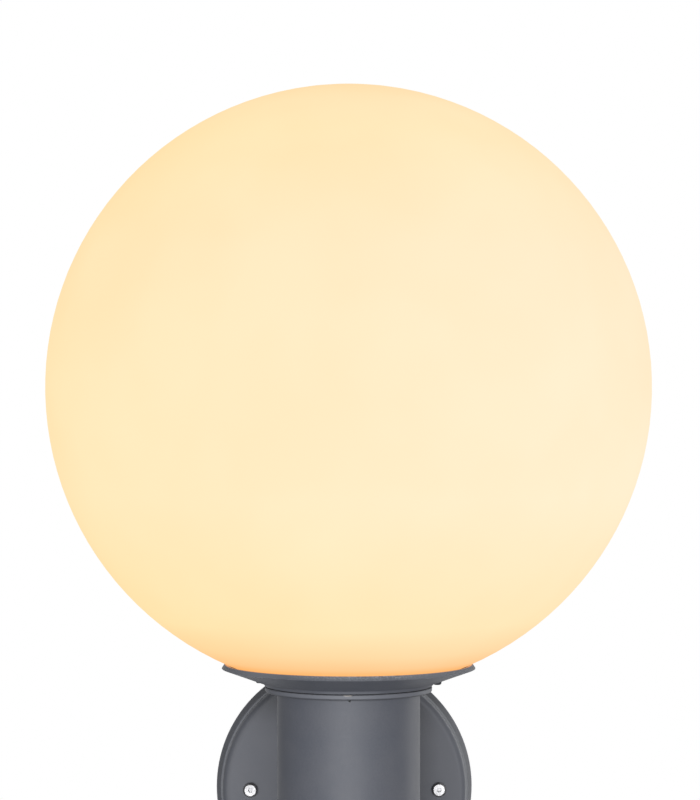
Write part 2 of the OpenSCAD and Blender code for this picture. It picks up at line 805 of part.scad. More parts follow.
// Folded steel hat that lifts the lampholder off the gallery's floor
module holder_bracket() {
    section = [
        [hat_foot_x, 0], [hat_foot_x, hat_t], [hat_leg_x + hat_t, hat_t], [hat_leg_x, hat_h - hat_t / 2],
        [hat_leg_x - hat_t / 2, hat_h], [-hat_leg_x + hat_t / 2, hat_h], [-hat_leg_x, hat_h - hat_t / 2],
        [-hat_leg_x - hat_t, hat_t], [-hat_foot_x, hat_t], [-hat_foot_x, 0], [-hat_leg_x, 0],
        [-hat_leg_x + hat_t, hat_h - hat_t], [hat_leg_x - hat_t, hat_h - hat_t], [hat_leg_x, 0]
    ];
    color(STEEL) on_column(hat_z) difference() {
        translate([0, hat_w / 2, 0]) rotate([90, 0, 0]) linear_extrude(hat_w) polygon(section);
        cylinder(d = nipple_d + 2 * hole_gap, h = hat_h + over);
        translate([lug_x, 0, 0]) cylinder(d = lug_bore, h = hat_h + over);
        for (side = [-1, 1]) {
            translate([side * hat_screw_x, 0, -over])
                cylinder(d = hat_screw_d + 2 * hole_gap, h = hat_t + 2 * over);
        }
    }
}

// Screws that hold that bracket to the gallery's floor
module bracket_screws() {
    color(STEEL) for (side = [-1, 1]) {
        translate([side * hat_screw_x, -reach, hat_z + hat_t])
            pan_screw(hat_screw_d, hat_t + web_t + hat_screw_boss_h - 1, hat_screw_head_d, hat_screw_head_h);
    }
}

// Hollow threaded nipple that joins the lampholder to its bracket
module holder_nipple() {
    color(STEEL) on_column(hat_top_z - hat_t - nipple_below) difference() {
        cylinder(d = nipple_d, h = nipple_below + hat_t + nipple_in);
        translate([0, 0, -over]) cylinder(d = nipple_bore, h = nipple_below + hat_t + nipple_in + 2 * over);
    }
}

module holder_nut() {
    color(STEEL) on_column(hat_top_z - hat_t - nut_t) difference() {
        cylinder(d = nut_across / cos(30), h = nut_t, $fn = 6);
        translate([0, 0, -over]) cylinder(d = nipple_d + 2 * thread_gap, h = nut_t + 2 * over);
    }
}

// Ceramic body of the lampholder
module lampholder() {
    holder_r = holder_d / 2;
    section = [
        [0, holder_pocket], [nipple_d / 2 + thread_gap, holder_pocket], [nipple_d / 2 + thread_gap, 0],
        [holder_r - 4.5, 0], [holder_r - 3.5, 1], [holder_r - 3.5, 8], [holder_r, 13], [holder_r, 26],
        [holder_r - 0.8, 27], [holder_r - 0.8, 29], [holder_r, 30], [holder_r, holder_h - 1.5],
        [holder_r - 1.5, holder_h], [shell_r + seat_gap, holder_h], [shell_r + seat_gap, holder_floor],
        [0, holder_floor]
    ];
    color([0.93, 0.92, 0.89]) on_column(hat_top_z) rotate_extrude() polygon(section);
}

// Metal shell that the lamp screws into
module thread_shell() {
    color(BRASS) on_column(hat_top_z + holder_floor) difference() {
        cylinder(r = shell_r, h = holder_h - holder_floor - 3);
        translate([0, 0, -over]) cylinder(r = shell_bore_r, h = holder_h);
    }
}

// Sprung contact under the lamp's tip
module centre_contact() {
    color(BRASS) on_column(hat_top_z + holder_floor) {
        cylinder(d = 12, h = 0.8);
        cylinder(d1 = 9, d2 = 5, h = contact_h);
    }
}

module lamp_tip() {
    color(STEEL) on_column(lamp_z) cylinder(d1 = 6, d2 = 9.6, h = tip_h);
}

module lamp_insulator() {
    color([0.08, 0.08, 0.09]) on_column(lamp_z + tip_h) cylinder(d1 = 12, d2 = 22, h = insulator_h);
}

module lamp_cap() {
    color(STEEL) on_column(lamp_z + lamp_cap_z) cylinder(d = cap_thread_d, h = cap_thread_l);
}

// Flared body between the lamp's cap and its dome
module lamp_body() {
    flare = [for (i = [0:8]) let(t = i / 8)
        [body_waist_r + (dome_base_r + 1 - body_waist_r) * pow(t, 1.4), t * (dome_base_z - lamp_body_z)]];
    color([0.95, 0.95, 0.94]) on_column(lamp_z + lamp_body_z)
        rotate_extrude() polygon(concat([[0, 0]], flare, [[0, dome_base_z - lamp_body_z]]));
}

// Frosted dome of the lamp
module lamp_dome() {
    color([0.98, 0.97, 0.94]) on_column(lamp_z) intersection() {
        difference() {
            translate([0, 0, dome_z]) sphere(r = dome_r);
            translate([0, 0, dome_z]) sphere(r = dome_r - dome_wall);
        }
        translate([0, 0, dome_base_z]) cylinder(r = lamp_d, h = lamp_d);
    }
}

// Ring lug that earths the lampholder's bracket
module earth_lug() {
    color(BRASS) difference() {
        translate([0, -reach, lug_z]) union() {
            translate([lug_x, 0, 0]) cylinder(r = lug_ring_r, h = lug_t);
            translate([lug_barrel_x, 0, -lug_barrel_h])
                cylinder(d = lug_barrel_d, h = lug_barrel_h + lug_t / 2);
        }
        translate([lug_x - 1, -reach, lug_z - over]) cylinder(d = 2, h = lug_t + 2 * over);
    }
}

// Sweep of a round wire along straight runs with rounded bends
function unit(v) = v / norm(v);
function bend(a, b, c) =
    let(from = b + wire_bend * unit(a - b), to = b + wire_bend * unit(c - b))
    [for (i = [0:wire_steps]) let(t = i / wire_steps)
        (1 - t) * (1 - t) * from + 2 * t * (1 - t) * b + t * t * to];
function rounded(points) = concat(
    [points[0]],
    [for (i = [1:len(points) - 2]) each bend(points[i - 1], points[i], points[i + 1])],
    [points[len(points) - 1]]
);
function heading(path, i) =
    unit(path[min(i + 1, len(path) - 1)] - path[max(i - 1, 0)]);
function ring(centre, along) =
    let(u = unit(cross(along, [1, 0, 0])), v = cross(along, u))
    [for (k = [0:wire_sides - 1]) let(a = 360 * k / wire_sides)
        centre + wire_d / 2 * (cos(a) * u + sin(a) * v)];

module wire(points, shade) {
    path = rounded(points);
    rings = len(path);
    skin = [for (i = [0:rings - 1]) each ring(path[i], heading(path, i))];
    sides = [for (i = [0:rings - 2], k = [0:wire_sides - 1])
        let(next = (k + 1) % wire_sides, base = i * wire_sides)
        [base + k, base + next, base + wire_sides + next, base + wire_sides + k]];
    start = [for (k = [wire_sides - 1:-1:0]) k];
    end = [for (k = [0:wire_sides - 1]) (rings - 1) * wire_sides + k];
    color(shade) polyhedron(skin, concat([start], sides, [end]), convexity = 4);
}

// Route of one supply wire, from its pole through the arm and up into the nipple
function supply_route(side) = [
    [side * pole_pitch, -sleeve_out, wire_low_z],
    [side * pole_pitch, -sleeve_out, 9],
    [side * 6, -34, 9],
    for (p = column_route) [-side * p[0], p[1], p[2]],
    [side * 1.5, -reach, wire_top_z]
];

module live_wire() {
    wire(supply_route(-1), [0.45, 0.26, 0.14]);
}

module neutral_wire() {
    wire(supply_route(1), [0.16, 0.32, 0.66]);
}

module earth_wire() {
    route = [
        [0, -sleeve_out, wire_low_z],
        [0, -sleeve_out, 5],
        [0, -reach + 13, 0],
        [8, -reach + 10, 35],
        [lug_barrel_x, -reach, 60],
        [lug_barrel_x, -reach, lug_z - lug_barrel_h]
    ];
    wire(route, [0.45, 0.60, 0.20]);
}

globe();
globe_inserts();
globe_seal();
gallery();
lock_screw_left();
lock_screw_right();
foot_gasket();
spigot_screws();
column();
column_cap();
cap_screws();
arm();
arm_set_screws();
wall_plate();
wall_gasket();
plate_screws();
wall_bracket();
bracket_bushes();
cable_grommet();
earth_screw();
earth_washer();
terminal_block();
terminal_sleeves();
terminal_screws();
block_screw();
holder_bracket();
bracket_screws();
holder_nipple();
holder_nut();
lampholder();
thread_shell();
centre_contact();
lamp_tip();
lamp_insulator();
lamp_cap();
lamp_body();
lamp_dome();
earth_lug();
live_wire();
neutral_wire();
earth_wire();
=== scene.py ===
"""The looks of an outdoor globe wall light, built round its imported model."""

import json
import math

import bmesh
import bpy
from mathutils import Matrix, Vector


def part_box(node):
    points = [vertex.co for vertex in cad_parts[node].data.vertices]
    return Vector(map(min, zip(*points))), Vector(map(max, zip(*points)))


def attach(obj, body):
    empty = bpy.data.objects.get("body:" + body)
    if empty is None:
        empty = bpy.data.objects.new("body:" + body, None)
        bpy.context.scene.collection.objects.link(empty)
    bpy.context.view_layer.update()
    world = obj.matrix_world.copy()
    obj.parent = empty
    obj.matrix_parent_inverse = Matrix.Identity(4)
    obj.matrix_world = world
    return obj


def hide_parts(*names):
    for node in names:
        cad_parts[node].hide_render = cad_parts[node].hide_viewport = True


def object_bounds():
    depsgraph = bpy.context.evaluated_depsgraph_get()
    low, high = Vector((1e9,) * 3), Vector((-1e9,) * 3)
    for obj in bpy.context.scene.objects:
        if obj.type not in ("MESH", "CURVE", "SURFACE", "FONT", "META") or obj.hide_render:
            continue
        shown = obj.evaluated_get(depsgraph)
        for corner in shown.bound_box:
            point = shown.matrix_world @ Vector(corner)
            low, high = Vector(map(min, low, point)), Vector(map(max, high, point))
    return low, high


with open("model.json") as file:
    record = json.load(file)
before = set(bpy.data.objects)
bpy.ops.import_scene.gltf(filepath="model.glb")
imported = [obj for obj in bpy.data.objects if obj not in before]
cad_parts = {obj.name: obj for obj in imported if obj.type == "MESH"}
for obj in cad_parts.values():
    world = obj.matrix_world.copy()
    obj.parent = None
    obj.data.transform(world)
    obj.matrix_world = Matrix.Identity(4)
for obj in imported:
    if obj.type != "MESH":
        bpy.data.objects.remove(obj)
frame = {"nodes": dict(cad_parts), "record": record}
cad_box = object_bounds()

MM = 0.001

# Size of the photograph, and where its level line of sight meets the picture, in its pixels
PHOTO_W, PHOTO_H = 700, 800
SIGHT_X, SIGHT_Y = 348.6, 387
# Focal length in the same pixels
FOCAL_PX = 2735
# Where the camera stands: distance to the column, and how far to the left
CAMERA_DISTANCE = 1.36
CAMERA_SIDE = 0.020

GLOBE_LOW, GLOBE_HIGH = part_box("globe")
GLOBE_R = (GLOBE_HIGH.x - GLOBE_LOW.x) / 2
GLOBE_CENTRE = Vector((0, (GLOBE_LOW.y + GLOBE_HIGH.y) / 2, GLOBE_HIGH.z - GLOBE_R))
LIP_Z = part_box("gallery")[1].z
COLUMN_LOW, COLUMN_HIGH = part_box("column")
FRONT_Y, TOP_Z = COLUMN_LOW.y, COLUMN_HIGH.z
FLANGE_Z = TOP_Z - 2.5 * MM
PLATE_LOW, PLATE_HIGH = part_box("wall_plate")
PLATE_CENTRE = ((PLATE_LOW + PLATE_HIGH) / 2).to_tuple()
PLATE_R = (PLATE_HIGH.x - PLATE_LOW.x) / 2
# Radius of the plate's narrow ledge
LEDGE_R = PLATE_R - 3.4 * MM

# Small marks on the casting, each with its middle and its reach along each axis: the nick in the flange's
# upper edge, its bare metal painted bright as a highlight, the dimple below it, painted with shade, the
# pale specks on the front of the lip, partly dust and partly painted light, and the painted highlight on
# the front of the foot's chamfer
NICK = (-0.9 * MM, FRONT_Y, TOP_Z - 0.1 * MM), (2.6 * MM, 1.5 * MM, 0.6 * MM)
DIMPLE = (0, FRONT_Y + 7 * MM, TOP_Z - 3.3 * MM), (1.1 * MM, 2 * MM, 1.1 * MM)
DUSTY_LIT_LIP_FRONT = (5 * MM, FRONT_Y, LIP_Z), (40 * MM, 30 * MM, 9 * MM)
LIT_CHAMFER_FRONT = (0, FRONT_Y, TOP_Z + MM), (19 * MM, 30 * MM, 1.3 * MM)

# Colours of the powder coat, from its darker clouds to its pale grain, which also serves as painted
# highlight, and the painted highlight on the cone's sides
COAT_DARK = (0.099, 0.107, 0.131)
COAT_LIGHT = (0.113, 0.119, 0.141)
PALE_GRAIN_AND_HIGHLIGHT = (0.170, 0.178, 0.205)
CONE_SIDE_HIGHLIGHT = (0.220, 0.228, 0.255)
# Colours of its wear and of what lies on it, and of painted light and shade: the painted highlight on the
# plate's ledge, the wear on its edges, bare metal that also stands as a highlight, dust that is partly
# painted light, and painted shade
LEDGE_HIGHLIGHT = (0.27, 0.28, 0.30)
EDGE_WEAR = (0.27, 0.275, 0.29)
BARE_METAL_AND_GLINT = (0.44, 0.42, 0.41)
DUST_AND_LIGHT = (0.36, 0.375, 0.40)
PAINTED_SHADE = (0.028, 0.030, 0.035)
BLACK = (0.0, 0.0, 0.0)
# The globe's light on the edge of its seat, as it shows on screen
SHINE = (240, 160, 95)

# The lit globe from the lip up to its crown: share of that height, and the colour as it shows on screen
GLOW = (
    (0.000, (254, 186, 114)),
    (0.012, (254, 205, 148)),
    (0.036, (255, 219, 168)),
    (0.085, (255, 232, 186)),
    (0.300, (255, 237, 202)),
    (0.700, (255, 234, 198)),
    (0.900, (255, 232, 189)),
    (0.955, (255, 231, 189)),
    (0.985, (254, 228, 184)),
    (1.000, (253, 226, 181)),
)
# The same for the lamp's dome
LAMP_GLOW = (
    (0.00, (255, 200, 130)),
    (0.35, (255, 232, 182)),
    (1.00, (255, 246, 216)),
)
# How much more of each colour the globe has at its right edge, and less at its left: a painted sheen of
# the studio light from the right
PAINTED_RIGHT_SHEEN = (0.0, 0.035, 0.14)

# Dark and light tone of each metal, its roughness and the size of its grain
METALS = {
    "stainless": ((0.28, 0.28, 0.29), (0.44, 0.44, 0.45), 0.38, 0.25 * MM),
    "blackened": ((0.085, 0.089, 0.1), (0.12, 0.125, 0.138), 0.55, 0.25 * MM),
    "zinc_steel": ((0.45, 0.47, 0.52), (0.68, 0.69, 0.72), 0.36, 1.5 * MM),
    "brass": ((0.50, 0.33, 0.12), (0.72, 0.53, 0.22), 0.28, 0.3 * MM),
    "lamp_metal": ((0.50, 0.49, 0.46), (0.70, 0.69, 0.66), 0.25, 0.4 * MM),
}
# Dark and light tone of each plastic, and its roughness
PLASTICS = {
    "terminal_plastic": ((0.74, 0.71, 0.62), (0.82, 0.80, 0.72), 0.4),
    "lamp_insulation": ((0.006, 0.006, 0.008), (0.014, 0.014, 0.017), 0.18),
    "lamp_plastic": ((0.76, 0.76, 0.74), (0.83, 0.83, 0.81), 0.4),
    "wire_brown": ((0.09, 0.03, 0.012), (0.13, 0.05, 0.02), 0.42),
    "wire_blue": ((0.015, 0.06, 0.30), (0.03, 0.09, 0.40), 0.42),
}
WIRE_GREEN, WIRE_YELLOW = (0.05, 0.25, 0.03), (0.72, 0.62, 0.05)

WIRES = ("live_wire", "neutral_wire", "earth_wire")
# Edges sharper than this are rounded, on castings and on the other pieces
CASTING_SHARP = math.radians(16)
SHARP = math.radians(24)
# Radius of the rounded edges, by material
EDGE_RADIUS = {"powder_coat": 0.35 * MM, "porcelain": 0.4 * MM, "epdm": 0.15 * MM, "opal": 0.3 * MM}
THIN_EDGE = 0.12 * MM
# Corners closer than this are one, and faces that turn less than this are one
SAME_PLACE = 0.001 * MM
SAME_FACE = math.radians(0.2)

# Lock screw, in millimetres
LOCK_R, LOCK_CORE_R, LOCK_LEN = 1.5, 1.15, 9.6
LOCK_PITCH, LOCK_THREAD_DEPTH = 0.5, 0.3
LOCK_HEAD_H, LOCK_HEAD_R, LOCK_HEAD_FLAT_R = 2.0, 2.2, 1.15
SOCKET_R, SOCKET_DEPTH, SOCKET_POINT, SOCKET_EDGE = 0.78, 1.2, 0.25, 0.08
# E27 thread of the lamp's cap and the plain collar above it, in millimetres
CAP_PITCH, CAP_THREAD_DEPTH, CAP_COLLAR_H = 3.63, 1.05, 3.4

# Pieces that take the light of the globe
LIT_BY_GLOBE = ("globe_seal", "globe_inserts", "lampholder", "thread_shell", "holder_bracket",
                "bracket_screws", "lamp_body", "lamp_dome", "lamp_insulator")
# Where the studio panels point
FOOT = Vector((0, -0.1, 0.05))
# Strength of the light from around, low down and high up, and its factors at the left and elsewhere
AROUND_LOW, AROUND_HIGH = 0.24, 0.32
LEFT_FACTOR, OTHER_FACTOR = 0.4, 1.05
# Strength of the white behind the object, and of what the camera sees
BEHIND, SEEN = 0.9, 1.0
FLOOR_DROP = 1.25
FLOOR_R = 6.0
FLOOR_SIDES = 64


def linear(*levels):
    """A colour given as it shows on screen, 0 to 255, as the linear values that the shaders take."""
    shares = [level / 255 for level in levels]
    return tuple(s / 12.92 if s <= 0.04045 else ((s + 0.055) / 1.055) ** 2.4 for s in shares)


class Nodes:
    """A node tree, with short ways to add what the finishes and the world need."""

    def __init__(self, tree):
        self.tree = tree

    def add(self, kind, **settings):
        node = self.tree.nodes.new(kind)
        for name, value in settings.items():
            setattr(node, name, value)
        return node

    def join(self, source, target):
        self.tree.links.new(source, target)

    def put(self, target, value):
        """Gives an input another node's result, a colour or a number."""
        if isinstance(value, bpy.types.NodeSocket):
            self.join(value, target)
        elif isinstance(value, tuple):
            target.default_value = (*value, 1.0)
        else:
            target.default_value = value

    def calc(self, operation, first, second=0.0):
        """Result of a sum, whose sides are results or numbers."""
        node = self.add("ShaderNodeMath", operation=operation)
        self.put(node.inputs[0], first)
        self.put(node.inputs[1], second)
        return node.outputs["Value"]

    def times(self, first, second):
        return self.calc("MULTIPLY", first, second)

    def larger(self, first, second):
        return self.calc("MAXIMUM", first, second)

    def spread(self, source, low, high, to_low=0.0, to_high=1.0):
        """Maps low to to_low and high to to_high, and holds the ends."""
        node = self.add("ShaderNodeMapRange", clamp=True)
        self.join(source, node.inputs["Value"])
        node.inputs["From Min"].default_value = low
        node.inputs["From Max"].default_value = high
        node.inputs["To Min"].default_value = to_low
        node.inputs["To Max"].default_value = to_high
        return node.outputs["Result"]

    def fade(self, source, low, high, level=1.0):
        """The level up to low, falling to 0 at high."""
        return self.spread(source, low, high, level, 0.0)

    def mix(self, share, first, second):
        """Mixes two numbers."""
        node = self.add("ShaderNodeMix")
        for label, value in (("Factor", share), ("A", first), ("B", second)):
            self.put(node.inputs[label], value)
        return node.outputs["Result"]


class Surface(Nodes):
    """A node material on one Principled shader, textured in the object's own coordinates."""

    def __init__(self, name, **inputs):
        self.material = bpy.data.materials.new(name)
        self.material.use_nodes = True
        super().__init__(self.material.node_tree)
        self.shader = self.tree.nodes["Principled BSDF"]
        for label, value in inputs.items():
            self.put(self.shader.inputs[label.replace("_", " ").title().replace("Ior", "IOR")], value)
        self.place = self.add("ShaderNodeTexCoord").outputs["Object"]

    def feed(self, label, source):
        self.join(source, self.shader.inputs[label])

    def noise(self, size, detail=3.0):
        """Noise whose features are about size metres across."""
        node = self.add("ShaderNodeTexNoise")
        node.inputs["Scale"].default_value = 1 / size
        node.inputs["Detail"].default_value = detail
        node.inputs["Roughness"].default_value = 0.55
        self.join(self.place, node.inputs["Vector"])
        return node.outputs["Fac"]

    def ramp(self, source, stops):
        """Colours along 0 to 1, from (place, colour) stops."""
        node = self.add("ShaderNodeValToRGB")
        elements = node.color_ramp.elements
        while len(elements) < len(stops):
            elements.new(0.5)
        for element, (place, colour) in zip(elements, stops):
            element.position = place
            element.color = (*colour, 1.0)
        self.join(source, node.inputs["Fac"])
        return node.outputs["Color"]

    def blend(self, share, first, second, mode="MIX"):
        """Mixes two colours, each a result or a plain colour."""
        node = self.add("ShaderNodeMix", data_type="RGBA", blend_type=mode)
        # The node's sockets for colours have the same names as those for numbers, so their places are used
        for place, value in ((0, share), (6, first), (7, second)):
            self.put(node.inputs[place], value)
        return node.outputs[2]

    def axis(self, letter):
        """One coordinate of the surface's place, in metres."""
        node = self.add("ShaderNodeSeparateXYZ")
        self.join(self.place, node.inputs["Vector"])
        return node.outputs[letter]

    def distance(self, centre, weights=(1, 1, 1)):
        """Distance from the centre, once each axis is multiplied by its weight."""
        offset = self.add("ShaderNodeVectorMath", operation="SUBTRACT")
        offset.inputs[1].default_value = centre
        self.join(self.place, offset.inputs[0])
        weighted = self.add("ShaderNodeVectorMath", operation="MULTIPLY")
        weighted.inputs[1].default_value = weights
        self.join(offset.outputs[0], weighted.inputs[0])
        length = self.add("ShaderNodeVectorMath", operation="LENGTH")
        self.join(weighted.outputs[0], length.inputs[0])
        return length.outputs["Value"]

    def near(self, centre, reach):
        """1 round the centre, fading to 0 at its reach, which has a length for each axis, in metres."""
        return self.fade(self.distance(centre, tuple(1 / length for length in reach)), 0.6, 1.0)

    def bump(self, height, depth):
        """Raises the surface by up to depth metres where height is 1, on top of any bump made before."""
        node = self.add("ShaderNodeBump")
        node.inputs["Distance"].default_value = depth
        node.inputs["Strength"].default_value = 1.0
        self.join(height, node.inputs["Height"])
        before = self.shader.inputs["Normal"].links
        if before:
            self.join(before[0].from_socket, node.inputs["Normal"])
        self.feed("Normal", node.outputs["Normal"])

    def edges(self, radius):
        """1 along sharp edges, 0 on flat and gently curved faces."""
        bevel = self.add("ShaderNodeBevel", samples=4)
        bevel.inputs["Radius"].default_value = radius
        geometry = self.add("ShaderNodeNewGeometry")
        dot = self.add("ShaderNodeVectorMath", operation="DOT_PRODUCT")
        self.join(bevel.outputs["Normal"], dot.inputs[0])
        self.join(geometry.outputs["Normal"], dot.inputs[1])
        return self.spread(dot.outputs["Value"], 0.995, 0.90)

    def covered(self, distance):
        """1 where another surface lies over this one, well within the distance, 0 where it is open."""
        cover = self.add("ShaderNodeAmbientOcclusion", samples=8)
        cover.inputs["Distance"].default_value = distance
        return self.fade(cover.outputs["AO"], 0.4, 0.9)


def lip_dust_and_light(s):
    """1 on the pale specks along the lip's upper edge, partly dust and partly painted light, which are
    thickest at the front, 0 elsewhere.
    """
    edge = s.spread(s.axis("Z"), LIP_Z - 2.6 * MM, LIP_Z - 0.8 * MM)
    specks = s.spread(s.noise(0.7 * MM, detail=2), 0.45, 0.66, 0.1, 0.9)
    even_pale_share = 0.12
    pale_share = s.calc("ADD", s.times(s.near(*DUSTY_LIT_LIP_FRONT), specks), even_pale_share)
    return s.times(edge, pale_share)


def globe_shine(s):
    """1 on the upper edge of the globe's seat, where the globe lies close over it and lights it."""
    seat = s.fade(s.distance(tuple(GLOBE_CENTRE)), GLOBE_R + 0.45 * MM, GLOBE_R + 0.9 * MM)
    upper = s.spread(s.axis("Z"), LIP_Z - 1.2 * MM, LIP_Z - 0.3 * MM)
    return s.times(s.times(seat, upper), s.covered(2 * MM))


def ring(s, radius, middle, width, level=1.0):
    """The level on a ring round the wall plate's middle radius, falling to 0 half its width from there."""
    off = s.calc("ABSOLUTE", s.calc("SUBTRACT", radius, middle))
    return s.fade(off, 0.25 * width, 0.5 * width, level)


def plate_painted_shade(s):
    """Share of painted shade on the wall plate in the lee of the gallery, right of the column, and in the
    corners that the column makes with the gallery."""
    x, z = s.axis("X"), s.axis("Z")
    above = s.spread(z, TOP_Z - 37 * MM, TOP_Z - 23 * MM, 0.0, 0.4)
    beside = s.times(s.fade(x, 40 * MM, 52 * MM, 0.45), s.spread(x, 5 * MM, 38 * MM))
    corner = s.times(s.fade(s.calc("ABSOLUTE", x), 36 * MM, 60 * MM),
                     s.spread(z, TOP_Z - 46 * MM, TOP_Z - 26 * MM, 0.0, 0.35))
    return s.calc("ADD", s.larger(above, beside), corner)


def plate_tones(s, tone):
    """Painted light and shade on the wall plate: painted shade round the column and on the band outside the
    ledge, a painted highlight on the ledge, most on the right, and on the shoulder inside it a painted
    highlight on the right and painted shade on the left."""
    by_wall = s.spread(s.axis("Y"), -40 * MM, -30 * MM)
    right = s.spread(s.axis("X"), -30 * MM, 30 * MM)
    left = s.fade(s.axis("X"), -30 * MM, 30 * MM)
    radius = s.distance(PLATE_CENTRE, (1, 0, 1))
    shoulder = ring(s, radius, LEDGE_R - 2.2 * MM, 5 * MM)
    band = ring(s, radius, LEDGE_R + 2.0 * MM, 2.6 * MM, 0.35)
    ledge = s.times(ring(s, radius, LEDGE_R, 2.2 * MM), s.spread(right, 0.0, 1.0, 0.2, 0.9))
    # Painted shade, then painted highlights on the shoulder's right and on the ledge
    for share, colour in (
        (plate_painted_shade(s), PAINTED_SHADE),
        (band, PAINTED_SHADE),
        (s.times(shoulder, s.times(left, 0.2)), PAINTED_SHADE),
        (s.times(shoulder, s.times(right, 0.4)), PALE_GRAIN_AND_HIGHLIGHT),
        (ledge, LEDGE_HIGHLIGHT),
    ):
        tone = s.blend(s.times(share, by_wall), tone, colour)
    return tone


def casting_tones(s, tone):
    """Painted light and shade on the column's flange and the gallery's cone: painted highlights on the
    flange and the front of the foot's chamfer, painted shade under the flange, and painted highlights on
    the cone towards its sides."""
    x, z = s.axis("X"), s.axis("Z")
    flange = s.times(s.spread(z, FLANGE_Z, FLANGE_Z + MM), s.fade(z, TOP_Z, TOP_Z + 0.3 * MM))
    # Painted highlight on the flange and the front of the foot's chamfer
    tone = s.blend(s.times(s.larger(flange, s.near(*LIT_CHAMFER_FRONT)), 0.7), tone, PALE_GRAIN_AND_HIGHLIGHT)
    # Painted shade under the flange
    under = s.times(s.spread(z, FLANGE_Z - 1.3 * MM, FLANGE_Z - 0.5 * MM),
                    s.fade(z, FLANGE_Z + 0.3 * MM, FLANGE_Z + 0.8 * MM, 0.6))
    tone = s.blend(under, tone, PAINTED_SHADE)
    # Painted highlight on the cone towards its sides
    cone = s.spread(z, TOP_Z + 4 * MM, TOP_Z + 6 * MM)
    sides = s.larger(s.spread(x, 22 * MM, 46 * MM, 0.0, 0.8), s.fade(x, -46 * MM, -31 * MM, 0.7))
    return s.blend(s.times(sides, cone), tone, CONE_SIDE_HIGHLIGHT)


def powder_coat():
    """Anthracite textured powder coat: a fine grain, soft clouds of tone, rubbed edges, pale specks on the
    lip, partly dust and partly painted light, bare metal in the flange's nick painted bright as its
    highlight, and painted shade in the dimple below it. It carries painted light and shade on the plate,
    the flange and the cone, and is paler near the wall, as painted light."""
    s = Surface("powder_coat", metallic=0.0, roughness=0.55, ior=1.48, emission_color=BLACK,
                emission_strength=0.9)
    grain = s.noise(0.9 * MM, detail=4)
    tone = s.ramp(s.noise(14 * MM, detail=2), [(0.3, COAT_DARK), (0.7, COAT_LIGHT)])
    # Painted light: paler near the wall
    tone = s.blend(s.spread(s.axis("Y"), -100 * MM, -30 * MM, 0.0, 0.45), tone, PALE_GRAIN_AND_HIGHLIGHT)
    tone = plate_tones(s, casting_tones(s, tone))
    tone = s.blend(s.spread(grain, 0.3, 0.75, 0.0, 0.22), tone, PALE_GRAIN_AND_HIGHLIGHT)
    # Pale specks on the lip: partly dust, partly painted light, most at the front
    tone = s.blend(lip_dust_and_light(s), tone, DUST_AND_LIGHT)
    rubbed = s.times(s.edges(0.5 * MM), s.spread(s.noise(2.5 * MM), 0.45, 0.7, 0.15, 0.7))
    tone = s.blend(rubbed, tone, EDGE_WEAR)
    # Bare metal in the nick, painted bright as its highlight
    tone = s.blend(s.near(*NICK), tone, BARE_METAL_AND_GLINT)
    # Painted shade in the dimple
    tone = s.blend(s.times(s.near(*DIMPLE), 0.75), tone, PAINTED_SHADE)
    s.feed("Base Color", tone)
    s.feed("Roughness", s.spread(grain, 0.3, 0.75, 0.48, 0.62))
    s.feed("Emission Color", s.blend(globe_shine(s), BLACK, linear(*SHINE)))
    s.bump(grain, 0.02 * MM)
    s.bump(s.noise(4 * MM, detail=1), 0.02 * MM)
    return s.material


def glow_up(s, low, high, glow):
    """Colours of a lit piece between two heights, from stops as they show on screen."""
    height = s.spread(s.axis("Z"), low, high)
    return s.ramp(height, [(place, linear(*colour)) for place, colour in glow])


def opal():
    """Lit opal plastic: an even warm glow, oranger towards the neck and the crown, and whiter on the right
    with a painted sheen of the studio light.
    """
    s = Surface("opal", roughness=0.4, specular_ior_level=0.0, base_color=(0.05, 0.04, 0.03),
                emission_strength=1.033, coat_weight=1.0, coat_roughness=0.4, coat_ior=1.02,
                coat_tint=(1.0, 0.990, 0.975))
    glow = glow_up(s, LIP_Z, GLOBE_HIGH.z, GLOW)
    # Painted sheen of the studio light: the globe whiter on the right
    sideways = s.add("ShaderNodeVectorMath", operation="SCALE")
    sideways.inputs[0].default_value = PAINTED_RIGHT_SHEEN
    s.join(s.calc("DIVIDE", s.axis("X"), GLOBE_R), sideways.inputs["Scale"])
    shift = s.add("ShaderNodeVectorMath", operation="ADD")
    shift.inputs[1].default_value = (1.0, 1.0, 1.0)
    s.join(sideways.outputs[0], shift.inputs[0])
    glow = s.blend(1.0, glow, shift.outputs[0], "MULTIPLY")
    clouds = s.ramp(s.noise(70 * MM, detail=2), [(0.35, (0.98, 0.975, 0.95)), (0.65, (1.0, 1.0, 1.0))])
    s.feed("Emission Color", s.blend(1.0, glow, clouds, "MULTIPLY"))
    s.bump(s.noise(25 * MM, detail=1), 0.05 * MM)
    return s.material


def metal(name, dark, light, rough, grain_size):
    """Bare or plated metal: fine grain, slight stains, and an uneven sheen."""
    s = Surface(name, metallic=1.0, roughness=rough)
    s.feed("Base Color", s.ramp(s.noise(6 * MM, detail=4), [(0.3, dark), (0.65, light)]))
    grain = s.noise(grain_size)
    s.feed("Roughness", s.spread(grain, 0.3, 0.7, rough - 0.07, rough + 0.1))
    s.bump(grain, 0.008 * MM)
    return s.material


def moulded(name, dark, light, rough):
    """Moulded plastic: an even colour with soft flow marks and a fine spark-eroded texture."""
    s = Surface(name, roughness=rough)
    s.feed("Base Color", s.ramp(s.noise(8 * MM), [(0.3, dark), (0.7, light)]))
    texture = s.noise(0.35 * MM, detail=2)
    s.feed("Roughness", s.spread(texture, 0.3, 0.7, rough - 0.06, rough + 0.08))
    s.bump(texture, 0.006 * MM)
    return s.material


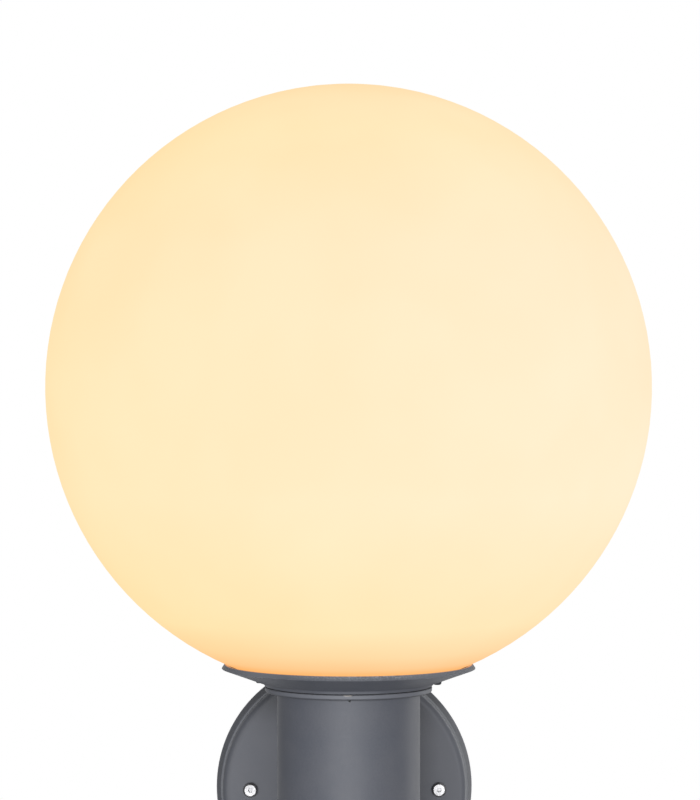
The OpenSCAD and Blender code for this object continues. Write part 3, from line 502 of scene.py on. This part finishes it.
def rubber():
    """Matt black rubber with a faint bloom."""
    s = Surface("epdm", roughness=0.8, specular_ior_level=0.3)
    bloom = s.noise(5 * MM, detail=4)
    s.feed("Base Color", s.ramp(bloom, [(0.35, (0.012, 0.012, 0.013)), (0.75, (0.03, 0.03, 0.032))]))
    s.feed("Roughness", s.spread(bloom, 0.3, 0.7, 0.7, 0.9))
    s.bump(s.noise(0.4 * MM), 0.015 * MM)
    return s.material


def porcelain():
    """White glazed porcelain: a wavy glaze over a faintly speckled body."""
    s = Surface("porcelain", roughness=0.15, coat_weight=0.5, coat_roughness=0.06)
    specks = s.noise(0.8 * MM, detail=1)
    s.feed("Base Color", s.ramp(specks, [(0.2, (0.55, 0.51, 0.45)), (0.32, (0.83, 0.81, 0.76))]))
    s.feed("Roughness", s.spread(s.noise(9 * MM), 0.3, 0.7, 0.1, 0.24))
    s.bump(s.noise(3 * MM, detail=1), 0.03 * MM)
    return s.material


def lamp_diffuser():
    """Frosted dome of the lamp, lit: brightest at its crown."""
    s = Surface("lamp_diffuser", roughness=0.45, base_color=(0.55, 0.52, 0.46), emission_strength=0.72)
    low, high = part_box("lamp_dome")
    s.feed("Emission Color", glow_up(s, low.z, high.z, LAMP_GLOW))
    s.bump(s.noise(0.5 * MM), 0.01 * MM)
    return s.material


def striped_wire():
    """Green insulation with yellow bands that wind round it."""
    s = Surface("wire_green", roughness=0.42)
    wave = s.add("ShaderNodeTexWave", bands_direction="DIAGONAL")
    wave.inputs["Scale"].default_value = 55
    wave.inputs["Distortion"].default_value = 1.5
    s.join(s.place, wave.inputs["Vector"])
    s.feed("Base Color", s.ramp(wave.outputs["Fac"], [(0.42, WIRE_GREEN), (0.58, WIRE_YELLOW)]))
    s.bump(s.noise(0.5 * MM), 0.006 * MM)
    return s.material


def materials():
    """One finish for each material slot of the record, and one for the blackened lock screws."""
    finishes = {
        "opal": opal(),
        "powder_coat": powder_coat(),
        "epdm": rubber(),
        "porcelain": porcelain(),
        "lamp_diffuser": lamp_diffuser(),
        "wire_green": striped_wire(),
    }
    for name, look in METALS.items():
        finishes[name] = metal(name, *look)
    for name, look in PLASTICS.items():
        finishes[name] = moulded(name, *look)
    return finishes


def weld(piece):
    """Joins the corners of faces that meet."""
    piece.modifiers.new("weld", "WELD").merge_threshold = SAME_PLACE


def round_edges(piece, radius, sharp):
    """Gives a node's sharp edges a small real radius, as casting, pressing or turning leaves them."""
    weld(piece)
    flats = piece.modifiers.new("flats", "DECIMATE")
    flats.decimate_type = "DISSOLVE"
    flats.angle_limit = SAME_FACE
    bevel = piece.modifiers.new("edges", "BEVEL")
    bevel.width = radius
    bevel.segments = 3
    bevel.limit_method = "ANGLE"
    bevel.angle_limit = sharp
    normals = piece.modifiers.new("normals", "WEIGHTED_NORMAL")
    normals.keep_sharp = False


def smooth_wire(piece):
    """Rounds a wire's eight-sided tube."""
    weld(piece)
    fine = piece.modifiers.new("fine", "SUBSURF")
    fine.levels = fine.render_levels = 2


def dress_nodes(finishes):
    """Puts each node's finish on it, and rounds its edges."""
    slots = {part["node"]: part["material_slot"] for part in frame["record"]["subparts"]}
    for name, piece in frame["nodes"].items():
        slot = slots[name]
        piece.data.materials.clear()
        piece.data.materials.append(finishes[slot])
        if name in WIRES:
            smooth_wire(piece)
        else:
            sharp = CASTING_SHARP if slot == "powder_coat" else SHARP
            radius = THIN_EDGE if name == "column" else EDGE_RADIUS.get(slot, THIN_EDGE)
            round_edges(piece, radius, sharp)


def hexagon(radius):
    """Radius at each angle of the hexagon round a circle of that radius."""
    return lambda angle: radius / math.cos(angle % (math.pi / 3) - math.pi / 6)


def vee(share):
    """Depth of a cut thread across its pitch, 0 at the crest and 1 at the root."""
    return 1 - abs(2 * share - 1)


def rope(share):
    """Depth of a rolled round thread across its pitch."""
    return (1 - math.cos(math.tau * share)) / 2


def thread(radius, depth, pitch, low, high, wave, steps):
    """Outline points up a thread from low to high that runs out over one turn at each end. The wave is the
    thread's form, and steps is the number of points to each turn."""

    def at(z):
        cut = depth * min(1, (z - low) / pitch, (high - z) / pitch)
        return lambda angle: radius - cut * wave((z / pitch - angle / math.tau) % 1)

    count = round((high - low) / pitch * steps)
    heights = [low + (high - low) * i / count for i in range(count + 1)]
    return [(at(z), z) for z in heights]


def turned(name, axis, outline, sides):
    """Solid of revolution about an upright axis. Its outline, in millimetres, runs from the axis out and
    back to the axis as (radius, height) points, and a radius may be a function of the angle."""
    shape = bmesh.new()
    loops = []
    for radius, z in outline:
        loop = []
        for i in range(sides if radius else 1):
            angle = math.tau * i / sides
            r = radius(angle) if callable(radius) else radius
            place = Vector((r * math.cos(angle), r * math.sin(angle), z))
            loop.append(shape.verts.new(axis + place * MM))
        loops.append(loop)
    for low, high in zip(loops, loops[1:]):
        for i in range(sides):
            j = (i + 1) % sides
            corners = (low[i % len(low)], low[j % len(low)], high[j % len(high)], high[i % len(high)])
            shape.faces.new(list(dict.fromkeys(corners))).smooth = True
    bmesh.ops.recalc_face_normals(shape, faces=shape.faces)
    mesh = bpy.data.meshes.new(name)
    shape.to_mesh(mesh)
    shape.free()
    mesh.set_sharp_from_angle(angle=math.radians(35))
    piece = bpy.data.objects.new(name, mesh)
    bpy.context.scene.collection.objects.link(piece)
    return piece


def stand_for(piece, node, body, finish):
    """Puts a new piece in a node's place, on its body and in a finish."""
    piece.data.materials.append(finish)
    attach(piece, body)
    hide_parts(node)


def lock_head():
    """Outline of a lock screw's head, from the bottom of its socket out and up to its seat at height 0."""
    floor_z = SOCKET_DEPTH - LOCK_HEAD_H
    outline = [
        (0, floor_z + SOCKET_POINT),
        (hexagon(SOCKET_R), floor_z),
        (hexagon(SOCKET_R), SOCKET_EDGE - LOCK_HEAD_H),
        (hexagon(SOCKET_R + SOCKET_EDGE), -LOCK_HEAD_H),
    ]
    dome_h = LOCK_HEAD_H * 0.7
    steps = 8
    for i in range(steps + 1):
        turn = math.pi / 2 * i / steps
        outline.append((LOCK_HEAD_FLAT_R + (LOCK_HEAD_R - LOCK_HEAD_FLAT_R) * math.sin(turn),
                        dome_h - LOCK_HEAD_H - dome_h * math.cos(turn)))
    return outline + [(LOCK_HEAD_R, -0.1), (LOCK_HEAD_R - 0.1, 0)]


def add_lock_screw(side, finishes):
    """M3 screw with a domed head below its seat, a hexagon socket and a cut thread."""
    node = f"lock_screw_{side}"
    low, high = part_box(node)
    middle = (low + high) / 2
    seat = Vector((middle.x, middle.y, high.z - LOCK_LEN * MM))
    outline = lock_head() + [(LOCK_R, 0)]
    outline += thread(LOCK_R, LOCK_THREAD_DEPTH, LOCK_PITCH, 1.5, LOCK_LEN - 0.5, wave=vee, steps=6)
    outline += [(LOCK_CORE_R, LOCK_LEN), (0, LOCK_LEN)]
    piece = turned(f"{node}_threaded", seat, outline, sides=48)
    stand_for(piece, node, node, finishes["blackened"])


def add_lamp_cap(finishes):
    """Screw cap of the lamp, with its rolled E27 thread and the collar crimped to the lamp's body."""
    low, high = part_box("lamp_cap")
    middle = (low + high) / 2
    foot = Vector((middle.x, middle.y, low.z))
    r = (high.x - low.x) / 2 / MM
    top = (high.z - low.z) / MM
    outline = [(0, 0), (r - 1.6, 0), (r - 1.0, 0.35)]
    outline += thread(r, CAP_THREAD_DEPTH, CAP_PITCH, 0.9, top - CAP_COLLAR_H, wave=rope, steps=14)
    outline += [
        (r - 0.7, top - 3.0),
        (r - 0.7, top - 2.6),
        (r, top - 2.2),
        (r, top - 0.3),
        (r - 0.3, top),
        (0, top),
    ]
    piece = turned("lamp_cap_threaded", foot, outline, sides=96)
    stand_for(piece, "lamp_cap", "lamp", finishes["lamp_metal"])


def add_camera():
    """The photograph's view: level with the globe, a little to the left of its axis."""
    lens = bpy.data.cameras.new("camera")
    camera = bpy.data.objects.new("camera", lens)
    bpy.context.scene.collection.objects.link(camera)
    bpy.context.scene.camera = camera
    camera.location = GLOBE_CENTRE + Vector((-CAMERA_SIDE, -CAMERA_DISTANCE, 0))
    camera.rotation_euler = (GLOBE_CENTRE - camera.location).to_track_quat("-Z", "Y").to_euler()
    longer = max(PHOTO_W, PHOTO_H)
    lens.lens = FOCAL_PX / longer * lens.sensor_width
    lens.shift_x = (PHOTO_W / 2 - SIGHT_X) / longer
    lens.shift_y = (SIGHT_Y - PHOTO_H / 2) / longer


def add_panel(name, place, size, power):
    """A soft studio panel at place, facing the object's foot. It shows in no picture itself."""
    light = bpy.data.lights.new(name, "AREA")
    light.shape = "RECTANGLE"
    light.size, light.size_y = size
    light.energy = power
    panel = bpy.data.objects.new(name, light)
    bpy.context.scene.collection.objects.link(panel)
    panel.location = place
    panel.rotation_euler = (FOOT - panel.location).to_track_quat("-Z", "Y").to_euler()
    panel.visible_camera = False
    return panel


def spare_globe(panels):
    """Keeps the panels' light off the globe, which shines by itself and is to look even."""
    kept_off = bpy.data.collections.new("kept_off")
    kept_off.objects.link(frame["nodes"]["globe"])
    kept_off.collection_objects[0].light_linking.link_state = "EXCLUDE"
    for panel in panels:
        panel.light_linking.receiver_collection = kept_off


def add_lights():
    """A broad panel far behind the camera, and one behind the object for its right edges."""
    spare_globe([
        add_panel("key", (-0.26, -3.5, -0.1), size=(3.2, 1.8), power=103),
        add_panel("right", (1.1, 0.6, 0.0), size=(0.6, 1.2), power=4.5),
    ])


def add_world():
    """White behind the object, and soft grey light from elsewhere, weakest from below and from the left."""
    world = bpy.data.worlds.new("studio")
    world.use_nodes = True
    bpy.context.scene.world = world
    n = Nodes(world.node_tree)
    split = n.add("ShaderNodeSeparateXYZ")
    n.join(n.add("ShaderNodeTexCoord").outputs["Generated"], split.inputs["Vector"])
    x, y, z = split.outputs
    height = n.spread(z, -0.6, 0.8, AROUND_LOW, AROUND_HIGH)
    side = n.spread(x, -1.0, -0.7, LEFT_FACTOR, OTHER_FACTOR)
    behind = n.spread(y, 0.70, 0.90)
    around = n.mix(behind, n.times(height, side), BEHIND)
    camera_ray = n.add("ShaderNodeLightPath").outputs["Is Camera Ray"]
    background = n.tree.nodes["Background"]
    n.join(n.mix(camera_ray, around, SEEN), background.inputs["Strength"])
    background.inputs["Color"].default_value = (1, 1, 1, 1)


def floor_material():
    """Pale floor that turns into the white behind it further out."""
    s = Surface("floor", roughness=0.9, specular_ior_level=0.1, base_color=(0.8, 0.8, 0.8),
                emission_color=(1.0, 1.0, 1.0), emission_strength=0.5)
    out = s.add("ShaderNodeVectorMath", operation="LENGTH")
    s.join(s.place, out.inputs[0])
    fade = s.spread(out.outputs["Value"], 0.3 * FLOOR_R, 0.9 * FLOOR_R)
    s.feed("Base Color", s.ramp(s.noise(0.8), [(0.3, (0.78, 0.78, 0.78)), (0.7, (0.82, 0.82, 0.82))]))
    white = s.add("ShaderNodeEmission")
    mixer = s.add("ShaderNodeMixShader")
    s.join(fade, mixer.inputs["Fac"])
    s.join(s.shader.outputs["BSDF"], mixer.inputs[1])
    s.join(white.outputs["Emission"], mixer.inputs[2])
    s.join(mixer.outputs["Shader"], s.tree.nodes["Material Output"].inputs["Surface"])
    return s.material


def add_floor():
    """Round floor well below the light, as it would hang over the ground."""
    angles = [math.tau * i / FLOOR_SIDES for i in range(FLOOR_SIDES)]
    points = [(FLOOR_R * math.cos(angle), FLOOR_R * math.sin(angle), 0) for angle in angles]
    mesh = bpy.data.meshes.new("floor")
    mesh.from_pydata(points, [], [list(range(FLOOR_SIDES))])
    mesh.materials.append(floor_material())
    floor = bpy.data.objects.new("floor", mesh)
    bpy.context.scene.collection.objects.link(floor)
    floor.location = (0, GLOBE_CENTRE.y / 2, cad_box[0].z - FLOOR_DROP)
    floor.visible_diffuse = False
    floor.visible_glossy = False


def settle_globe_light():
    """The globe's glow lights what is inside it, and doesn't tint the castings."""
    lit = bpy.data.collections.new("lit_by_the_globe")
    for name in LIT_BY_GLOBE:
        lit.objects.link(frame["nodes"][name])
    globe = frame["nodes"]["globe"]
    globe.light_linking.receiver_collection = lit
    globe.visible_diffuse = False


bpy.context.scene.view_settings.view_transform = "Standard"
add_camera()
finishes = materials()
dress_nodes(finishes)
add_lock_screw("left", finishes)
add_lock_screw("right", finishes)
add_lamp_cap(finishes)
settle_globe_light()
add_world()
add_lights()
add_floor()
